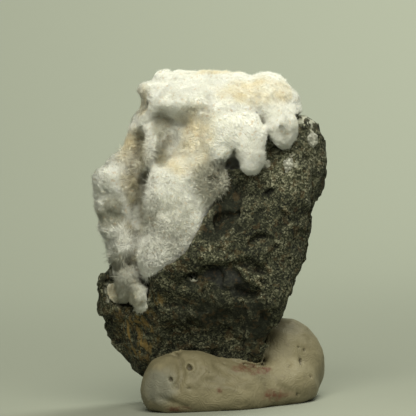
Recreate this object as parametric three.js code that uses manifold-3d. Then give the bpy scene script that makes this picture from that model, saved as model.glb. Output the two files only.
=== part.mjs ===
// Okenite puffs grown in an open hollow of basalt, standing in a lump of museum putty.
//
// Millimetres, +Z up, +X to the right, -Y to the front. The origin is the middle of the putty's flat
// foot. The stone and its puffs are laid out upright in their own frame, and then lean in the putty.
// Every lumpy body is a star body: a sphere whose vertices are moved in or out along their own
// direction from a heart point, so it is closed and faces out whatever its outline does.

import * as THREE from "three";
import { mergeVertices } from "three/addons/utils/BufferGeometryUtils.js";
import { ImprovedNoise } from "three/addons/math/ImprovedNoise.js";
import Module from "manifold-3d";

// ---------------------------------------------------------------- driving dimensions

// Clearance left between a body and the one it grows in or rests on.
const SEAT_GAP = 0.35;

// How the stone stands in the putty: its lean to the right, and where its own frame starts.
const STONE_LEAN = THREE.MathUtils.degToRad(3);
const STONE_PLACE = new THREE.Vector3(0, 0, -0.8);

// Basalt: flat breaks around a heart point, each with its outward direction and its distance.
const STONE_HEART = [0, 1, 28];
const STONE_GIRTH = [21, 13, 24];
const STONE_DETAIL = 10;
const STONE_SHARPNESS = 26;
const STONE_BREAKS = {
  rightFlank: { out: [0.95, -0.05, -0.31], far: 15.6 },
  rightShoulder: { out: [0.98, 0.1, 0.15], far: 23.8 },
  rightFoot: { out: [0.87, 0.0, -0.49], far: 16.6 },
  foot: { out: [-0.15, 0.0, -0.99], far: 23.6 },
  leftFoot: { out: [-0.88, -0.05, -0.47], far: 23.1 },
  leftRim: { out: [-0.92, 0.05, 0.4], far: 16.4 },
  crest: { out: [0.02, 0.1, 1.0], far: 24.6 },
  frontUpper: { out: [0.12, -0.97, 0.2], far: 12.0 },
  frontLower: { out: [-0.13, -0.93, -0.33], far: 12.3 },
  frontLeft: { out: [-0.66, -0.62, -0.42], far: 17.6 },
  frontRight: { out: [0.75, -0.63, 0.05], far: 17.5 },
  back: { out: [0.05, 0.99, 0.1], far: 12.4 },
  backFoot: { out: [0.1, 0.8, -0.6], far: 16.5 },
  backLeft: { out: [-0.7, 0.7, -0.1], far: 16.8 },
  backRight: { out: [0.75, 0.65, 0.0], far: 18.0 },
};

// Chips struck out of the stone's outside: ellipsoids as [centre, radii].
const STONE_CHIPS = [
  [[3.6, -15.4, 23.6], [4.6, 4.4, 4.0]],
  [[2.0, -12.2, 41.0], [6.0, 5.2, 7.5]],
  [[9.5, -13.5, 13.0], [4.5, 6.0, 6.0]],
  [[-4.0, -14.5, 14.5], [6.0, 5.0, 5.5]],
  [[-18.5, -6.0, 10.0], [5.0, 5.0, 6.0]],
  [[21.2, 0.0, 35.0], [3.5, 9.0, 4.0]],
  [[6.0, 18.5, 38.0], [9.0, 6.5, 8.0]],
  [[-6.0, 17.5, 24.0], [8.0, 5.5, 9.0]],
  [[12.0, 16.5, 18.0], [7.0, 5.0, 9.0]],
];

// The hollow in the basalt and the notches in its rim: ellipsoids as [centre, radii].
const HOLLOW_DETAIL = 2;
const HOLLOWS = [
  [[0.0, 0, 50], [11.3, 8.5, 15]],
  [[-6.0, -6, 52], [10, 9, 14]],
  [[-9.5, -5, 37], [10.5, 10.8, 14]],
  [[-9.0, 1, 35], [11, 7.5, 13]],
  [[-15.2, -6, 25], [4.8, 9, 8]],
  [[12.8, -6, 51.5], [2.0, 4.4, 5.0]],
];

// Okenite: puffs as [centre, radii], region by region, all grown together round one heart.
const PUFF_HEART = [-4, 1, 44];
const PUFF_GIRTH = [19, 11, 20];
const PUFF_DETAIL = 10;
const PUFF_BLEND = 0.35;
const PUFF_SOFTENING = 1;
const PUFFS = {
  crownTop: [
    [[-8.8, 0.0, 59.8], [2.1, 2.4, 2.1]],
    [[-11.5, -0.5, 57.6], [1.9, 2.3, 1.9]],
    [[-5.5, -3.0, 58.2], [3.6, 4.5, 3.1]],
    [[-1.8, -3.5, 58.1], [3.9, 5.0, 3.1]],
    [[2.2, -3.5, 57.9], [3.9, 5.0, 3.2]],
    [[6.3, -3.0, 57.7], [3.7, 5.0, 3.2]],
    [[10.4, -1.0, 58.2], [3.4, 4.2, 3.0]],
    [[13.5, -1.0, 56.1], [3.5, 4.2, 3.3]],
    [[15.3, -1.5, 54.2], [2.3, 3.2, 2.2]],
  ],
  crownLip: [
    [[-8.5, -3.5, 56.0], [2.8, 3.0, 2.4]],
    [[-5.4, -6.0, 56.2], [3.1, 2.8, 2.4]],
    [[-2.2, -7.0, 56.3], [3.1, 2.6, 2.4]],
    [[2.7, -6.5, 55.4], [3.7, 3.0, 3.1]],
    [[7.2, -6.0, 54.9], [3.5, 3.0, 3.1]],
    [[11.2, -4.5, 54.0], [3.1, 3.0, 2.7]],
  ],
  crownBack: [
    [[-6.5, 5.0, 56.2], [5.4, 5.2, 4.6]],
    [[2.0, 6.5, 56.4], [6.4, 5.2, 4.6]],
    [[9.8, 5.0, 55.4], [5.2, 4.8, 4.3]],
  ],
  slope: [
    [[-0.9, -6.0, 52.0], [4.3, 3.4, 4.2]],
    [[-1.8, -6.8, 47.8], [4.1, 3.2, 4.0]],
    [[-9.9, -3.5, 53.8], [1.9, 2.6, 3.4]],
    [[-11.2, -3.0, 51.2], [1.7, 2.4, 2.6]],
  ],
  curtain: [
    [[-10.4, -4.5, 46.4], [2.3, 3.0, 4.0]],
    [[-12.0, -4.2, 43.9], [1.3, 1.7, 1.7]],
    [[-6.4, -7.5, 41.2], [4.8, 4.0, 4.3]],
    [[-6.3, -8.5, 37.2], [5.1, 3.9, 4.3]],
    [[-6.6, -9.2, 33.7], [4.7, 3.8, 4.0]],
    [[-8.0, -8.8, 29.9], [4.3, 3.5, 3.9]],
    [[-10.4, -7.6, 26.4], [2.9, 3.0, 2.8]],
    [[-2.7, -7.8, 43.6], [3.3, 2.8, 3.3]],
    [[0.7, -7.2, 41.2], [2.9, 2.2, 3.7]],
    [[-2.8, -6.6, 35.2], [2.6, 4.2, 5.0]],
    [[-4.6, -6.6, 30.0], [2.6, 4.2, 3.8]],
  ],
  veil: [
    [[-12.0, 0.5, 54.5], [1.6, 2.6, 2.3]],
    [[-12.9, 1.0, 51.1], [1.8, 2.8, 2.3]],
    [[-14.1, 1.5, 47.9], [2.1, 3.0, 2.4]],
    [[-15.3, 2.0, 44.9], [2.7, 3.2, 2.7]],
    [[-17.8, 2.0, 41.9], [3.6, 3.6, 3.4]],
    [[-17.8, 2.5, 38.2], [3.3, 3.4, 3.0]],
    [[-17.9, 2.5, 35.7], [3.3, 3.4, 3.0]],
    [[-17.5, 3.0, 33.2], [3.3, 3.6, 3.0]],
    [[-15.9, 2.0, 29.7], [3.0, 3.2, 3.0]],
    [[-15.9, 2.0, 26.6], [2.3, 2.6, 2.4]],
    [[-14.4, 1.0, 38.0], [2.8, 3.2, 6.5]],
    [[-15.2, 6.0, 40.5], [4.0, 4.2, 4.8]],
    [[-14.8, 6.5, 33.0], [3.6, 4.0, 4.4]],
    [[-11.6, 6.5, 48.0], [3.8, 4.2, 4.8]],
  ],
  // What fills the hollow behind the puffs that show.
  body: [
    [[0.0, 3.0, 48.5], [12.5, 8.0, 12.0]],
    [[-5.5, 0.0, 36.5], [6.5, 8.0, 13.0]],
    [[-8.0, 5.0, 37.0], [8.5, 6.6, 14.0]],
    [[-13.2, 2.5, 26.5], [4.8, 6.0, 7.0]],
  ],
};

// Smaller puffs that stand clear of the mass, each a ball of its own, as [centre, radii].
const OUTER_PUFF_DETAIL = 2;
const OUTER_PUFFS = {
  finger: [
    [[3.3, -8.3, 49.6], [3.5, 2.9, 2.6]],
    [[6.7, -8.8, 49.2], [3.1, 3.0, 3.0]],
    [[7.5, -8.9, 46.5], [2.2, 2.5, 3.5]],
    [[0.6, -8.0, 46.9], [2.5, 2.5, 2.7]],
  ],
  pocket: [
    [[12.9, -4.9, 50.2], [2.3, 3.2, 3.7]],
  ],
  fringe: [
    [[-15.0, -3.4, 22.4], [2.1, 3.0, 3.4]],
    [[-12.8, -6.4, 20.4], [2.0, 3.0, 2.7]],
    [[-16.7, -1.0, 21.2], [2.0, 2.4, 2.2]],
  ],
};

// White amygdules, gas bubbles of the basalt filled with zeolite: each lies on the stone's surface in
// the direction of a point, sunk by a share of its radius.
const AMYGDULE_DETAIL = 1;
const AMYGDULE_GAP = 0.2;
const AMYGDULE_SINK = 0.45;
const AMYGDULES = {
  zeolite_amygdule_middle: { towards: [14.4, -6.2, 44.5], radii: [0.9, 0.9, 1.3] },
  zeolite_amygdule_left: { towards: [10.1, -6.7, 44.5], radii: [0.75, 0.75, 0.8] },
  zeolite_amygdule_top: { towards: [18.5, -3.1, 49.1], radii: [1.1, 1.0, 1.2] },
};

// Putty: rolls pressed round the stone's foot, as [centre, radii], cut flat where they stand.
const PUTTY_HEART = [3, 0, 4.5];
const PUTTY_GIRTH = [17, 12, 8];
const PUTTY_DETAIL = 5;
const PUTTY_ROLLS = [
  [[-4.0, -5.5, 3.6], [8.3, 7.0, 6.9]],
  [[4.0, -5.5, 2.0], [8.5, 7.0, 6.6]],
  [[12.0, -2.0, 2.5], [7.5, 7.0, 5.5]],
  [[12.9, 4.0, 6.4], [8.5, 8.0, 8.6]],
  [[2.0, 6.5, 4.0], [11.0, 7.5, 7.0]],
  [[2.5, 0.5, 2.0], [12.5, 9.5, 6.0]],
];
const PUTTY_BLEND = 1;

// ---------------------------------------------------------------- tools for lumpy bodies

const wasm = await Module();
wasm.setup();
const perlin = new ImprovedNoise();

/** Layered relief between about -1 and 1; its widest bumps are `size` mm across. */
function relief(point, size, layers, seed) {
  let sum = 0;
  let weight = 1;
  let total = 0;
  let scale = 1 / size;
  for (let layer = 0; layer < layers; layer++) {
    const shift = seed + 17.3 * layer;
    sum += weight * perlin.noise(point.x * scale + shift, point.y * scale + shift, point.z * scale);
    total += weight;
    weight *= 0.5;
    scale *= 2;
  }
  return (1.6 * sum) / total;
}

/** The numbers of the vertices joined by an edge to each vertex of a geometry. */
function neighbours(geometry) {
  const near = Array.from({ length: geometry.attributes.position.count }, () => new Set());
  const corner = geometry.index.array;
  for (let i = 0; i < corner.length; i += 3) {
    for (let side = 0; side < 3; side++) {
      near[corner[i + side]].add(corner[i + ((side + 1) % 3)]);
      near[corner[i + ((side + 1) % 3)]].add(corner[i + side]);
    }
  }
  return near;
}

/**
 * A star body's geometry: `reach(direction, heart)` is how far it goes out from its heart, averaged
 * `soften` times with the reach next to it, and `skin(point)` is the relief added on top.
 */
function starGeometry({ heart, girth, detail, reach, soften = 0, skin }) {
  const sphere = new THREE.IcosahedronGeometry(1, detail);
  sphere.deleteAttribute("normal");
  sphere.deleteAttribute("uv");
  const star = mergeVertices(sphere);
  const place = star.attributes.position;
  const centre = new THREE.Vector3(...heart);
  const stretch = new THREE.Vector3(...girth);
  const directions = [];
  for (let i = 0; i < place.count; i++) {
    directions.push(new THREE.Vector3().fromBufferAttribute(place, i).multiply(stretch).normalize());
  }
  let reaches = directions.map((direction) => reach(direction, centre));
  const near = soften > 0 ? neighbours(star) : [];
  for (let pass = 0; pass < soften; pass++) {
    reaches = reaches.map((own, i) => {
      const around = [...near[i]].reduce((sum, j) => sum + reaches[j], 0) / near[i].size;
      return 0.5 * (own + around);
    });
  }
  directions.forEach((direction, i) => {
    const point = direction.clone().multiplyScalar(reaches[i]).add(centre);
    point.addScaledVector(direction, skin(point));
    place.setXYZ(i, point.x, point.y, point.z);
  });
  return star;
}

/** Where a ray from a point enters and leaves an ellipsoid, or null when it misses it. */
function crossings(direction, from, [centre, radii]) {
  let a = 0;
  let b = 0;
  let c = -1;
  ["x", "y", "z"].forEach((axis, i) => {
    const d = direction[axis] / radii[i];
    const o = (from[axis] - centre[i]) / radii[i];
    a += d * d;
    b += d * o;
    c += o * o;
  });
  const root = b * b - a * c;
  return root <= 0 ? null : { enter: (-b - Math.sqrt(root)) / a, leave: (-b + Math.sqrt(root)) / a };
}

/** The farthest reach of several ellipsoids, rounded off over `blend` mm where two of them meet. */
function blendedReach(direction, heart, ellipsoids, blend) {
  const leaves = ellipsoids.map((ellipsoid) => crossings(direction, heart, ellipsoid)?.leave ?? 0);
  const farthest = Math.max(...leaves);
  const sum = leaves.reduce((total, leave) => total + Math.exp((leave - farthest) / blend), 0);
  return farthest + blend * Math.log(sum);
}

/** A solid of the boolean library from a geometry whose vertices are merged. */
function solidOf(geometry) {
  const vertProperties = new Float32Array(geometry.attributes.position.array);
  const triVerts = new Uint32Array(geometry.index.array);
  return new wasm.Manifold(new wasm.Mesh({ numProp: 3, vertProperties, triVerts }));
}

/** A geometry of a solid of the boolean library. */
function geometryOf(solid) {
  const mesh = solid.getMesh();
  const geometry = new THREE.BufferGeometry();
  geometry.setAttribute("position", new THREE.BufferAttribute(mesh.vertProperties, 3));
  geometry.setIndex(new THREE.BufferAttribute(mesh.triVerts, 1));
  geometry.computeVertexNormals();
  return geometry;
}

/** All the solids of a list in one. */
function joined(solids) {
  return solids.reduce((all, next) => all.add(next));
}

/** A geometry of the stone's own frame, moved to where it stands in the putty. */
function standing(geometry) {
  const { x, y, z } = STONE_PLACE;
  return geometry.translate(x, y, z).rotateY(STONE_LEAN);
}

// ---------------------------------------------------------------- basalt matrix

const BREAKS = Object.values(STONE_BREAKS).map(({ out, far }) => {
  return { normal: new THREE.Vector3(...out).normalize(), far };
});

/** How far the stone's breaks and chips lie from its heart. */
function stoneReach(direction, heart) {
  let sum = 0;
  for (const { normal, far } of BREAKS) {
    sum += (Math.max(0, normal.dot(direction)) / far) ** STONE_SHARPNESS;
  }
  const chips = STONE_CHIPS.map((chip) => crossings(direction, heart, chip)?.enter ?? Infinity);
  return Math.min(sum ** (-1 / STONE_SHARPNESS), ...chips.filter((enter) => enter > 0));
}

/** The uneven grain of broken basalt. */
function stoneSkin(point) {
  return 0.8 * relief(point, 8, 2, 3.1) + 0.5 * relief(point, 2.6, 1, 8.7);
}

/** The broken outside of the stone, grown by `grow`, before its hollow is opened. */
function stoneOutside(grow) {
  const geometry = starGeometry({
    heart: STONE_HEART,
    girth: STONE_GIRTH,
    detail: STONE_DETAIL,
    reach: stoneReach,
    skin: (point) => stoneSkin(point) + grow,
  });
  return solidOf(standing(geometry));
}

/** The hollow, shrunk by `shrink` so that what fills it stays clear of its wall. */
function hollow(shrink) {
  const spaces = HOLLOWS.map(([centre, radii]) =>
    starGeometry({
      heart: centre,
      girth: radii,
      detail: HOLLOW_DETAIL,
      reach: (direction, heart) => crossings(direction, heart, [centre, radii]).leave,
      skin: (point) => 0.35 * relief(point, 4, 2, 5.5) - shrink,
    }),
  );
  return joined(spaces.map((space) => solidOf(standing(space))));
}

/** The stone with its hollow, grown by `grow` so that a neighbour can be fitted round it. */
function stone(grow) {
  return stoneOutside(grow).subtract(hollow(grow));
}

/** A bubble filling in the stone's surface, or its socket when it is grown by `grow`. */
function amygdule({ towards, radii }, grow) {
  const heart = new THREE.Vector3(...STONE_HEART);
  const direction = new THREE.Vector3(...towards).sub(heart).normalize();
  const reach = stoneReach(direction, heart);
  const surface = direction.clone().multiplyScalar(reach).add(heart);
  const depth = reach + stoneSkin(surface) - AMYGDULE_SINK * Math.max(...radii);
  const centre = direction.clone().multiplyScalar(depth).add(heart).toArray();
  const geometry = starGeometry({
    heart: centre,
    girth: radii,
    detail: AMYGDULE_DETAIL,
    reach: (out, from) => crossings(out, from, [centre, radii]).leave,
    skin: () => grow,
  });
  return solidOf(standing(geometry));
}

function basalt() {
  const sockets = Object.values(AMYGDULES).map((filling) => amygdule(filling, AMYGDULE_GAP));
  return stone(0).subtract(joined(sockets));
}

// ---------------------------------------------------------------- okenite puffs

/** The knobbly skin of balls of fibres. */
function fibreSkin(point) {
  return 0.35 * relief(point, 2.8, 2, 1.9);
}

/** The mass of puffs that fills the hollow and swells out of it. */
function puffMass() {
  const puffs = Object.values(PUFFS).flat();
  const geometry = starGeometry({
    heart: PUFF_HEART,
    girth: PUFF_GIRTH,
    detail: PUFF_DETAIL,
    reach: (direction, heart) => blendedReach(direction, heart, puffs, PUFF_BLEND),
    soften: PUFF_SOFTENING,
    skin: fibreSkin,
  });
  return solidOf(standing(geometry));
}

function outerPuff([centre, radii]) {
  const geometry = starGeometry({
    heart: centre,
    girth: radii,
    detail: OUTER_PUFF_DETAIL,
    reach: (direction, heart) => crossings(direction, heart, [centre, radii]).leave,
    skin: fibreSkin,
  });
  return solidOf(standing(geometry));
}

/** All the puffs grown into one, fitted to the hollow. */
function okenite() {
  const outer = Object.values(OUTER_PUFFS).flat().map(outerPuff);
  return joined([puffMass(), ...outer]).subtract(stone(SEAT_GAP));
}

// ---------------------------------------------------------------- museum putty

function putty() {
  const lump = starGeometry({
    heart: PUTTY_HEART,
    girth: PUTTY_GIRTH,
    detail: PUTTY_DETAIL,
    reach: (direction, heart) => blendedReach(direction, heart, PUTTY_ROLLS, PUTTY_BLEND),
    skin: (point) => 0.3 * relief(point, 6, 2, 4.4),
  });
  const place = lump.attributes.position;
  for (let i = 0; i < place.count; i++) {
    place.setZ(i, Math.max(0, place.getZ(i)));
  }
  return solidOf(lump).subtract(stone(SEAT_GAP));
}

// ---------------------------------------------------------------- the specimen

const MATERIALS = {
  basalt: { color: 0x3b3a31, roughness: 0.85, metalness: 0 },
  okenite: { color: 0xe6e2d2, roughness: 0.6, metalness: 0 },
  zeolite: { color: 0xd9d9cf, roughness: 0.3, metalness: 0 },
  putty: { color: 0xb5a188, roughness: 0.6, metalness: 0 },
};

function piece(name, solid, material) {
  const mesh = new THREE.Mesh(geometryOf(solid), new THREE.MeshStandardMaterial(MATERIALS[material]));
  mesh.name = name;
  return mesh;
}

const specimen = new THREE.Group();
specimen.add(piece("basalt_matrix", basalt(), "basalt"));
for (const [name, filling] of Object.entries(AMYGDULES)) {
  specimen.add(piece(name, amygdule(filling, 0), "zeolite"));
}
specimen.add(piece("okenite_puffs", okenite(), "okenite"));
specimen.add(piece("putty_holder", putty(), "putty"));

export default specimen;
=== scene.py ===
"""Okenite puffs in an open hollow of basalt, standing in a lump of museum putty."""

import math

import bmesh
import bpy
import numpy as np
import openvdb
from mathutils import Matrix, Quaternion, Vector


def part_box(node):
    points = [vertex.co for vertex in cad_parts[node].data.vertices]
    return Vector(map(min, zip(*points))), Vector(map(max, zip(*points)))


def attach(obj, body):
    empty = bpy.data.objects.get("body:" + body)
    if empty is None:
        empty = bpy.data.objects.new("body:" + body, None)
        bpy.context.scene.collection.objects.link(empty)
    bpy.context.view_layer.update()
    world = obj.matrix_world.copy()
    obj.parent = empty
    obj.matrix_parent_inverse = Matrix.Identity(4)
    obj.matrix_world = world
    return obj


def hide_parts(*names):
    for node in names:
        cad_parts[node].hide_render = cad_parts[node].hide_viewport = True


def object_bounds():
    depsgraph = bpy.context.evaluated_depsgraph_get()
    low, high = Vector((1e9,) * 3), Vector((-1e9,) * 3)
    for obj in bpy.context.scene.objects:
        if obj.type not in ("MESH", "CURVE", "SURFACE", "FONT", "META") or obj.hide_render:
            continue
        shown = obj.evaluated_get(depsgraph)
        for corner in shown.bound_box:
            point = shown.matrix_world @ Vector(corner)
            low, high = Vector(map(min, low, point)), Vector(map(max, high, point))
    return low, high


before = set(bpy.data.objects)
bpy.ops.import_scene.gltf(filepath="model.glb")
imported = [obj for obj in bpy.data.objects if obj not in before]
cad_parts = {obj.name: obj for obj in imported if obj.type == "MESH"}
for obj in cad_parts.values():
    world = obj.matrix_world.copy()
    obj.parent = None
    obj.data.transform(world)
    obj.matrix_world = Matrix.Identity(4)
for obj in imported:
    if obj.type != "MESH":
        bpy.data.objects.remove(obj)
cad_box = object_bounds()

# ---------------------------------------------------------------- camera
# A long lens, almost level with the specimen and tipped a little to one side. The shapes below are laid
# out in the stone's own frame, which is the one that looks upright through the lens.

TIP = math.radians(3.0)
PICTURE_WIDTH_MM = 74.88
CAMERA_DISTANCE_MM = 400.0
SENSOR_MM = 36.0
CAMERA_RISE = math.radians(1.5)
AIM_MM = (-0.36, 0.0, 36.18)
STONE_DROP_MM = 0.8


def upright(points):
    """Points of the stone's own frame, in mm, moved to where the stone stands."""
    points = np.asarray(points, float)
    x, y, z = points[..., 0], points[..., 1], points[..., 2] - STONE_DROP_MM
    across = x * math.cos(TIP) + z * math.sin(TIP)
    up = z * math.cos(TIP) - x * math.sin(TIP)
    return np.stack([across, y, up], axis=-1)


def new_object(name, data):
    """An object with its mesh, light or camera, placed in the scene."""
    thing = bpy.data.objects.new(name, data)
    bpy.context.scene.collection.objects.link(thing)
    return thing


camera = new_object("camera", bpy.data.cameras.new("camera"))
bpy.context.scene.camera = camera
camera.data.sensor_width = SENSOR_MM
camera.data.lens = SENSOR_MM * CAMERA_DISTANCE_MM / PICTURE_WIDTH_MM
camera.data.clip_start, camera.data.clip_end = 0.01, 10.0
to_camera = Vector((0.0, -math.cos(CAMERA_RISE), math.sin(CAMERA_RISE)))
camera.location = Vector(upright(AIM_MM) * 0.001) + to_camera * CAMERA_DISTANCE_MM * 0.001
camera.rotation_mode = "QUATERNION"
camera.rotation_quaternion = (-to_camera).to_track_quat("-Z", "Y") @ Quaternion((0, 0, 1), -TIP)

# ---------------------------------------------------------------- basalt matrix
# A broken piece of lava: fine grained, with shallow shell-shaped breaks, ridges between them and small
# gas holes. It was struck off with a hammer, and nothing on it is worked.

# Its shape, like the okenite's and the putty's, is a grid of distances from the surface, in mm and below
# zero inside: STEP apart, reaching MARGIN past the object and true up to BAND from the surface.
STEP = 0.35
MARGIN = 3.0
BAND = 5.0
BOX_LOW, BOX_HIGH = (np.array(corner) * 1000 for corner in cad_box)
CORNERS = np.array([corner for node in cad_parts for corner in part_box(node)]) * 1000
LOW = CORNERS.min(axis=0) - MARGIN
SHAPE = tuple(np.ceil((CORNERS.max(axis=0) + MARGIN - LOW) / STEP).astype(int) + 1)
LATTICE = 32
lattice_rng = np.random.default_rng(7)
SLOPES = lattice_rng.normal(size=(LATTICE, LATTICE, LATTICE, 3)).astype(np.float32)
SLOPES /= np.linalg.norm(SLOPES, axis=-1, keepdims=True)
SCATTER = lattice_rng.random((LATTICE, LATTICE, LATTICE, 3)).astype(np.float32)


def relief(points, size, layers, seed):
    """Smooth bumps between about -1 and 1, `size` mm apart, halved in size and height at each layer."""
    total = np.zeros(len(points), np.float32)
    weight_sum = 0.0
    for layer in range(layers):
        spot = points * (2.0 ** layer / size) + (seed * 7.31 + 19.7 * layer)
        cell = np.floor(spot).astype(np.int32)
        share = (spot - cell).astype(np.float32)
        ease = share ** 3 * (share * (share * 6 - 15) + 10)
        value = np.zeros(len(points), np.float32)
        for corner in np.ndindex(2, 2, 2):
            slope = SLOPES[tuple(((cell + corner) % LATTICE).T)]
            weight = np.prod(np.where(corner, ease, 1 - ease), axis=1)
            value += weight * ((share - np.float32(corner)) * slope).sum(axis=1)
        total += 0.5 ** layer * value
        weight_sum += 0.5 ** layer
    return 1.5 * total / weight_sum


def drift(points, size, layers, seeds):
    """Smooth bumps along each of the three axes."""
    return np.stack([relief(points, size, layers, seed) for seed in seeds], axis=1)


def seeds_round(points, size, seed):
    """Scattered seeds round points, one in each cube of `size` mm: the way there, over size, and its cube."""
    spot = points / size + seed * 3.17
    cell = np.floor(spot).astype(np.int32)
    share = (spot - cell).astype(np.float32)
    for corner in np.ndindex(3, 3, 3):
        offset = np.array(corner) - 1
        cube = tuple(((cell + offset) % LATTICE).T)
        yield offset + SCATTER[cube] - share, cube


def cells(points, size, seed):
    """Distances to the nearest two of the scattered seeds, over size."""
    first = np.full(len(points), 9.0, np.float32)
    second = first.copy()
    for away, _ in seeds_round(points, size, seed):
        distance = (away ** 2).sum(axis=1)
        second = np.minimum(second, np.maximum(first, distance))
        first = np.minimum(first, distance)
    return np.sqrt(first), np.sqrt(second)


def facets(points, size, seed):
    """Flat faces about `size` mm across, each tilted its own way: heights between about -1 and 1."""
    nearest = np.full(len(points), 9.0, np.float32)
    height = np.zeros(len(points), np.float32)
    for away, cube in seeds_round(points, size, seed):
        distance = (away ** 2).sum(axis=1)
        closer = distance < nearest
        nearest[closer] = distance[closer]
        slope = SLOPES[tuple(part[closer] for part in cube)]
        height[closer] = (away[closer] * slope).sum(axis=1)
    return height


def smooth(value, start, end):
    """0 before start, 1 after end, and an eased change between them."""
    share = np.clip((value - start) / (end - start), 0, 1)
    return share * share * (3 - 2 * share)


def depth_grid(node):
    """Distance from a CAD node's surface at each grid point, in mm, below zero inside."""
    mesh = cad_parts[node].data
    mesh.calc_loop_triangles()
    corners = np.empty(len(mesh.vertices) * 3, np.float32)
    mesh.vertices.foreach_get("co", corners)
    faces = np.empty(len(mesh.loop_triangles) * 3, np.int32)
    mesh.loop_triangles.foreach_get("vertices", faces)
    level = openvdb.FloatGrid.createLevelSetFromPolygons(
        (corners.reshape(-1, 3) * 1000 - LOW).astype(np.float32),
        triangles=faces.reshape(-1, 3).astype(np.uint32),
        transform=openvdb.createLinearTransform(voxelSize=STEP),
        halfWidth=BAND / STEP,
    )
    grid = np.empty(SHAPE, np.float32)
    level.copyToArray(grid)
    return grid


def soften(grid, rounds):
    """A grid averaged with its neighbours, to take the facets off its surface."""
    for _ in range(rounds):
        for axis in range(3):
            grid = 0.5 * grid + 0.25 * (np.roll(grid, 1, axis) + np.roll(grid, -1, axis))
    return grid


def block(centre, reach):
    """The part of the grid within `reach` mm of a point, as slices, and its places on the three axes."""
    first = np.maximum(np.floor((np.asarray(centre) - reach - LOW) / STEP).astype(int), 0)
    last = np.minimum(np.ceil((np.asarray(centre) + reach - LOW) / STEP).astype(int) + 1, SHAPE)
    part = tuple(slice(a, max(a, b)) for a, b in zip(first, last))
    axes = [LOW[i] + STEP * np.arange(part[i].start, part[i].stop) for i in range(3)]
    return part, np.meshgrid(*axes, indexing="ij", sparse=True)


def ball_distance(places, centre, radii):
    """Roughly how far grid places are from an ellipsoid's surface, below zero inside."""
    offsets = [(place - c) / r for place, c, r in zip(places, centre, radii)]
    out = np.sqrt(sum(o * o for o in offsets)) + 1e-6
    slope = np.sqrt(sum((o / r) ** 2 for o, r in zip(offsets, radii))) + 1e-6
    return out * (out - 1) / slope


def rounded_max(first, second, blend):
    """The greater of two distances, with the corner between them rounded over `blend` mm."""
    overlap = np.clip(blend - np.abs(first - second), 0, None) / blend
    return np.maximum(first, second) + overlap ** 2 * blend / 4


def add_ball(grid, centre, radii, blend):
    """Joins an ellipsoid to a grid's solid, rounding the corner between them over `blend` mm."""
    part, places = block(centre, max(radii) + blend + STEP)
    grid[part] = -rounded_max(-grid[part], -ball_distance(places, centre, radii), blend)


def cut_ball(grid, centre, radii, blend):
    """Takes an ellipsoid out of a grid's solid, rounding the edge over `blend` mm."""
    part, places = block(centre, max(radii) + blend + STEP)
    grid[part] = rounded_max(grid[part], -ball_distance(places, centre, radii), blend)


def grid_surface(grid):
    """The points, in mm, and the four-cornered faces of the surface where a grid is zero."""
    level = openvdb.FloatGrid()
    level.background = BAND
    level.copyFromArray(np.ascontiguousarray(grid))
    level.transform = openvdb.createLinearTransform(voxelSize=STEP)
    points, faces = level.convertToQuads(0.0)
    return points.astype(float) + LOW, faces.astype(np.int64)


def face_normals(points, faces):
    """The normals of four-cornered faces, each as long as twice its face's area."""
    corners = points[faces]
    return np.cross(corners[:, 2] - corners[:, 0], corners[:, 3] - corners[:, 1])


def point_normals(points, faces):
    """Unit normals at the points of a mesh."""
    normals = np.zeros_like(points)
    own = face_normals(points, faces)
    for corner in range(4):
        for axis in range(3):
            normals[:, axis] += np.bincount(faces[:, corner], own[:, axis], len(points))
    return normals / (np.linalg.norm(normals, axis=1, keepdims=True) + 1e-12)


def main_surface(grid):
    """The points, faces and point normals of the largest connected part of a grid's surface, without the
    crumbs that come loose from it."""
    points, faces = grid_surface(grid)
    label = np.arange(len(points))
    while True:
        least = label[faces].min(axis=1)
        lower = label.copy()
        for corner in range(4):
            np.minimum.at(lower, faces[:, corner], least)
        lower = lower[lower]
        if (lower == label).all():
            break
        label = lower
    kept = label == np.bincount(label).argmax()
    points, faces = points[kept], (np.cumsum(kept) - 1)[faces[kept[faces[:, 0]]]]
    return points, faces, point_normals(points, faces)


def value_at(grid, points):
    """A grid's value at points in mm, blended between the grid points round them."""
    spot = np.clip((points - LOW) / STEP, 0, np.array(SHAPE) - 1.001)
    cell = np.floor(spot).astype(int)
    share = spot - cell
    value = 0.0
    for corner in np.ndindex(2, 2, 2):
        weight = np.prod(np.where(corner, share, 1 - share), axis=1)
        value = value + weight * grid[tuple((cell + corner).T)]
    return value


# How far out of a soft spot, over its radii, it is still full, and where it is gone.
SPOT_FULL, SPOT_GONE = 0.55, 1.15


def patches(points, spots, ragged=0.35, size=2.5):
    """How much points lie in soft spots of the stone's frame, from 0 to 1, with uneven edges. A spot is
    (centre, radii), or (centre, radii, strength) for a weaker or a crisper one."""
    uneven = ragged * relief(points, size, 3, 9.0)
    mask = np.zeros(len(points))
    for centre, radii, *strength in spots:
        away = np.sqrt((((points - upright(centre)) / np.asarray(radii)) ** 2).sum(axis=1))
        spot = 1 - smooth(away + uneven, SPOT_FULL, SPOT_GONE)
        mask = np.maximum(mask, spot * (strength[0] if strength else 1))
    return np.minimum(mask, 1)


EYE_MM = np.array(camera.location) * 1000
TO_RIGHT = np.array(camera.rotation_quaternion @ Vector((1, 0, 0)))
TO_TOP = np.array(camera.rotation_quaternion @ Vector((0, 1, 0)))
# The stretch of a line of sight that can meet the object, over the camera's distance: 0.05 mm at a time.
SIGHT = np.linspace(0.93, 1.07, 1121)[:, None]
# The window of the view that strokes are drawn in, and how finely, in mm.
VIEW_LOW, VIEW_HIGH, VIEW_STEP = (-36, -6), (40, 74), 0.2
FADE_DEPTH = 6
# How far apart a moulded stroke's balls lie, over its half width.
DOT_SPACING = 0.7


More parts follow.
